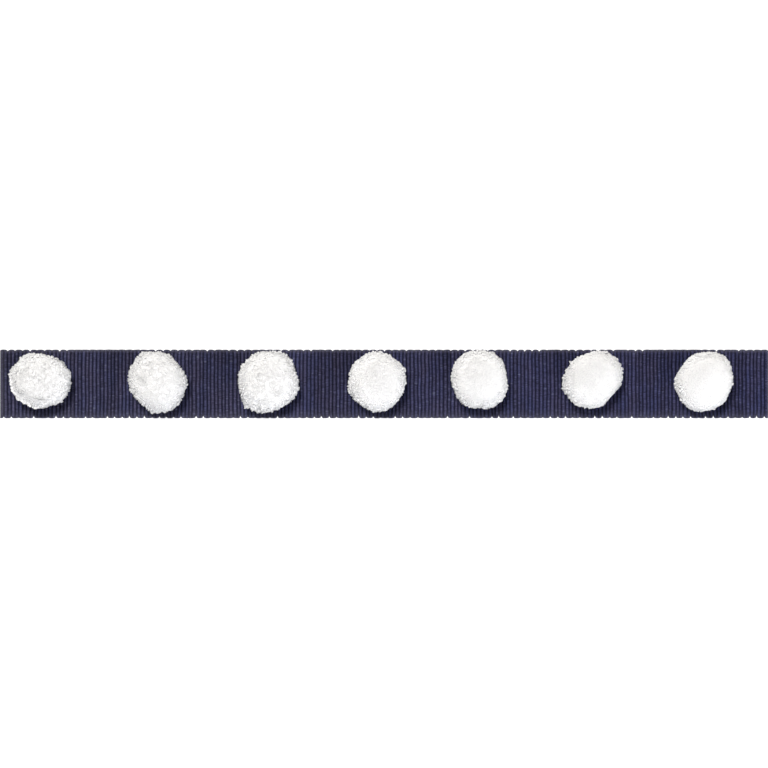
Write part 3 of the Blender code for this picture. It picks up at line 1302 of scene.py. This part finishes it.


# Each pompom's paleness is painted light that lifts the tone of all its fibres.
POMPOMS = (
    Pompom(
        number=1,
        shift=(0.18 * MM, 0.23 * MM),
        long_side=20.8 * MM,
        short_side=18.8 * MM,
        turn=-10,
        swellings=swellings_at((20, 5, 0.3, 18), (70, 10, -0.3, 18), (315, 0, 0.4, 16), (340, 0, -0.4, 14)),
        snips=snips_at(
            (40, 9.5), (60, 9.1), (75, 8.55), (92, 8.8), (140, 9.7), (187, 9.85), (244, 8.9), (288, 8.85),
            (327, 9.9), (355, 10),
        ),
        tufts=tufts_at(
            (125, -0.3, 4), (163, 0.3, 5), (174, -0.4, 4), (205, -0.3, 9), (295, -0.3, 5), (331, -0.3, 4),
        ),
        partings=partings_at(
            ((168, 19), (207, 19), -0.60, 0.60), ((216, 19), (266, 17), -0.55, 0.65),
            ((164, 29), (205, 30), 0.90, 0.45), ((203, 29), (257, 46), 0.85, 0.50),
            ((255, 46), (294, 42), 0.70, 0.45), ((212, 47), (276, 56), 0.40, 0.45),
        ),
        frays=frays_at((235, 45, 0.5, 24), (215, 12, -0.6, 26)),
        ragged=1.1,
        paleness=0.06,
        crown_calm=0.8,
    ),
    Pompom(
        number=2,
        shift=(0.06 * MM, -0.01 * MM),
        long_side=21.2 * MM,
        short_side=18.8 * MM,
        turn=120,
        swellings=swellings_at((5, 0, 0.4, 16), (110, 10, 0.4, 16), (230, 0, -0.4, 18), (325, 5, -0.8, 18)),
        snips=snips_at(
            (8, 9.65), (36, 8.75), (72, 9.8), (88, 9.8), (142, 10.05), (167, 9.7), (188, 9.25), (220, 8.65),
            (230, 8.9), (288, 10.3), (340, 9.6),
        ),
        tufts=tufts_at((101, -0.3, 4), (126, -0.35, 4), (258, 0.5, 9), (15, 0.3, 8)),
        partings=partings_at(((150, 28), (188, 66), 0.48, 0.4), ((359, 31), (343, 26), 0.59, 0.3)),
        frays=frays_at((215, 25, 0.6, 30)),
        ragged=1,
        paleness=0.03,
        crown_calm=0.6,
    ),
    Pompom(
        number=3,
        shift=(-0.29 * MM, 0.17 * MM),
        long_side=21 * MM,
        short_side=20.2 * MM,
        turn=60,
        swellings=swellings_at(
            (20, 0, -0.5, 16), (58, 0, 0.4, 16), (190, 5, -0.8, 18), (230, 0, 0.9, 18), (295, 0, -0.6, 24),
            (340, 0, 0.6, 18),
        ),
        snips=snips_at(
            (4, 10.5), (23, 10.1), (90, 10), (135, 10.1), (181, 9.5), (201, 9.7), (240, 10.6), (276, 9.95),
            (301, 9.4),
        ),
        tufts=tufts_at(
            (147, 0.3, 7), (357, -0.55, 6), (303, -0.55, 6), (135, -0.7, 7), (227, 0.9, 8), (45, 0.3, 8),
            (195, -0.35, 7), (330, -0.35, 7),
        ),
        partings=partings_at(
            ((2, 12), (356, 30), 0.42, 0.35), ((236, 44), (243, 55), -0.50, 0.35),
            ((247, 42), (252, 52), 0.50, 0.30),
        ),
        frays=frays_at((215, 25, 0.6, 30)),
        ragged=1.1,
        paleness=0.1,
        crown_calm=0.8,
    ),
    Pompom(
        number=4,
        shift=(-0.03 * MM, 0.22 * MM),
        long_side=20.2 * MM,
        short_side=19.8 * MM,
        turn=90,
        swellings=swellings_at((25, 0, 0.5, 18), (240, 0, -0.4, 18), (270, 0, 0.5, 14), (315, 5, -0.4, 18)),
        snips=snips_at(
            (9, 9.55), (50, 9.35), (69, 9.5), (93, 9.75), (121, 9.5), (149, 9.45), (175, 9.3), (225, 9.3),
            (242, 9.35), (275, 9.9), (307, 9.5), (327, 9.1), (347, 9.2),
        ),
        tufts=tufts_at((207, -0.3, 5), (198, 0.3, 4), (30, 0.3, 8), (315, -0.25, 8)),
        partings=partings_at(((196, 20), (214, 40), 0.34, 0.35)),
        frays=frays_at((230, 15, 0.5, 26)),
        ragged=0.95,
        paleness=0.22,
        crown_calm=0.8,
    ),
    Pompom(
        number=5,
        shift=(0.13 * MM, -0.05 * MM),
        long_side=20 * MM,
        short_side=19 * MM,
        turn=115,
        swellings=swellings_at((5, 0, -0.5, 16), (50, 5, 0.6, 20), (145, 0, 0.3, 24), (270, 0, -0.6, 16)),
        snips=snips_at(
            (9, 8.8), (50, 9.8), (82, 9.6), (97, 9.7), (147, 9.8), (170, 9.35), (198, 8.95), (207, 9.05),
            (241, 9.7), (263, 9.25),
        ),
        tufts=tufts_at(
            (222, -0.4, 5), (231, 0.4, 4), (274, -0.35, 3), (281, 0.25, 4), (356, -0.3, 5), (127, -0.4, 9),
        ),
        partings=partings_at(
            ((283, 45), (274, 10), 0.59, 0.35), ((262, 44), (273, 12), 0.37, 0.35),
            ((296, 42), (276, 12), 0.34, 0.35),
        ),
        frays=frays_at((225, 15, 0.4, 30)),
        ragged=0.95,
        paleness=0.2,
        crown_calm=0.85,
    ),
    Pompom(
        number=6,
        shift=(0.26 * MM, 0.17 * MM),
        long_side=21 * MM,
        short_side=18 * MM,
        turn=40,
        swellings=swellings_at(
            (100, 0, -0.4, 14), (125, 0, 0.4, 14), (180, 5, 0.4, 18), (280, 0, 0.5, 18), (325, 5, -0.9, 20),
        ),
        snips=snips_at(
            (0, 9.7), (36, 10.3), (60, 10.1), (90, 9.6), (110, 8.65), (124, 8.75), (168, 9.3), (219, 9.75),
            (261, 9.45), (283, 9.2), (317, 8.2),
        ),
        tufts=tufts_at((143, 0.5, 3.2), (152, -1.8, 5.5), (15, 0.3, 8), (180, 0.5, 7), (208, 0.4, 8)),
        partings=partings_at(((160, 40), (194, 43), 0.54, 0.4), ((146, 22), (158, 24), 0.59, 0.25)),
        frays=frays_at((222, 36, 2.2, 28), (165, 8, 0.6, 24)),
        ragged=0.7,
        paleness=0.25,
        crown_calm=0.85,
    ),
    Pompom(
        number=7,
        shift=(0.13 * MM, 0.08 * MM),
        long_side=20.6 * MM,
        short_side=18.8 * MM,
        turn=55,
        swellings=swellings_at(
            (10, 0, -0.3, 22), (45, 5, 0.6, 16), (85, 0, -0.3, 16), (170, 0, 0.3, 16), (215, 5, -0.3, 18),
        ),
        snips=snips_at(
            (10, 9.4), (40, 10.3), (86, 9.7), (100, 9.4), (133, 9.1), (147, 8.85), (207, 9.65), (228, 9.85),
            (273, 9.75), (298, 9.4), (341, 8.8),
        ),
        tufts=tufts_at((178, -0.3, 4), (285, -0.4, 4), (291, 0.2, 3)),
        partings=partings_at(((121, 27), (60, 20), 0.37, 0.3), ((124, 36), (66, 30), 0.26, 0.3)),
        frays=frays_at((215, 20, 0.6, 26)),
        ragged=0.65,
        paleness=0.34,
        crown_calm=0.8,
    ),
)


# ---- The studio ----


WHITE = (1.0, 1.0, 1.0)
WARM_WHITE = (1.0, 0.990, 0.965)
COOL_WHITE = (0.920, 0.948, 1.0)


@dataclass(frozen=True)
class Softbox:
    """A square lamp that shines at the trim's middle."""

    name: str
    bearing: float
    lift: float
    distance: float
    side: float
    power: float
    colour: Colour

    def build(self) -> bpy.types.Object:
        """Hang the lamp and turn it to the trim.

        Returns:
            The lamp's object.
        """
        lamp = bpy.data.lights.new(self.name, "AREA")
        lamp.shape = "SQUARE"
        lamp.size = self.side
        lamp.energy = self.power
        lamp.color = self.colour
        obj = bpy.data.objects.new(self.name, lamp)
        place = Vector(direction_at(self.bearing, self.lift)) * self.distance
        obj.location = place
        obj.rotation_euler = (-place).to_track_quat("-Z", "Y").to_euler()
        bpy.context.scene.collection.objects.link(obj)
        return obj


@dataclass(frozen=True)
class Studio:
    """A floor that glows white, soft lamps and a camera that looks straight down."""

    floor_side: float = 8.0
    floor_colour: Colour = (0.45, 0.45, 0.45)
    floor_roughness: float = 0.9
    floor_glow: float = 0.75
    room_light: float = 0.02
    wall_shade: float = 0.85
    lens: float = 200.0
    sensor: float = 36.0
    clip_end: float = 50.0
    seen_width: float = 248.13 * MM
    aim: tuple[float, float] = (-0.10 * MM, 0.0)
    lamps: tuple[Softbox, ...] = (
        Softbox("key_light", bearing=113, lift=74, distance=3.2, side=0.44, power=110.5, colour=WARM_WHITE),
        Softbox("right_light", bearing=306, lift=38, distance=1.0, side=0.56, power=6.8, colour=COOL_WHITE),
        Softbox("left_light", bearing=215, lift=20, distance=1.6, side=0.9, power=2.8, colour=COOL_WHITE),
    )

    def build(self) -> None:
        """Make the floor, the room's light, the lamps and the camera."""
        self.build_floor()
        self.build_room_light()
        for lamp in self.lamps:
            lamp.build()
        self.build_camera()

    def build_floor(self) -> None:
        """Lay a wide floor under the trim."""
        material, wiring, shader = new_material("pale_floor")
        looks = {
            "Base Color": (*self.floor_colour, 1.0),
            "Roughness": self.floor_roughness,
            "Emission Color": (*WHITE, 1.0),
            "Emission Strength": self.floor_glow,
            "Specular IOR Level": 0.0,
        }
        wiring.feed(shader, looks)
        half = self.floor_side / 2
        mesh = bpy.data.meshes.new("floor")
        corners = [(-half, -half, 0), (half, -half, 0), (half, half, 0), (-half, half, 0)]
        mesh.from_pydata(corners, [], [range(len(corners))])
        mesh.materials.append(material)
        floor = bpy.data.objects.new("floor", mesh)
        bpy.context.scene.collection.objects.link(floor)

    def build_room_light(self) -> None:
        """Fill the room with even, neutral light, between pale walls."""
        world = bpy.data.worlds.new("room")
        world.use_nodes = True
        wiring = Wiring(world.node_tree)
        seen = wiring.add("ShaderNodeLightPath").outputs["Is Camera Ray"]
        strength = wiring.ranged(seen, 0, 1, self.room_light, self.wall_shade)
        background = world.node_tree.nodes["Background"]
        wiring.feed(background, {"Color": (*WHITE, 1.0), "Strength": strength})
        bpy.context.scene.world = world

    def build_camera(self) -> None:
        """Hang the camera over the trim, as far off as its lens needs to see the width."""
        camera = bpy.data.cameras.new("camera")
        camera.lens = self.lens
        camera.sensor_width = self.sensor
        camera.clip_end = self.clip_end
        obj = bpy.data.objects.new("camera", camera)
        distance = self.seen_width * self.lens / self.sensor
        obj.location = (*self.aim, distance)
        bpy.context.scene.collection.objects.link(obj)
        bpy.context.scene.camera = obj
        bpy.context.scene.view_settings.view_transform = "Standard"


# ---- The whole scene ----


def report(obj: bpy.types.Object) -> None:
    """Say what a piece is made of."""
    triangles = sum(len(face.vertices) - 2 for face in obj.data.polygons)
    log.info("%s: %d triangles", obj.name, triangles)


def main() -> None:
    """Dress the trim and set the studio."""
    logging.basicConfig(level=logging.INFO, format="%(name)s: %(message)s")
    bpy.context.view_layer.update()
    hollow_shade_and_tone = make_hollow_shade_and_tone()
    report(Ribbon().build(RibbonFinish().material(hollow_shade_and_tone)))
    white_pile = PileFinish().material(hollow_shade_and_tone)
    for pompom in POMPOMS:
        report(pompom.build(white_pile))
    Studio().build()


if __name__ == "__main__":
    main()
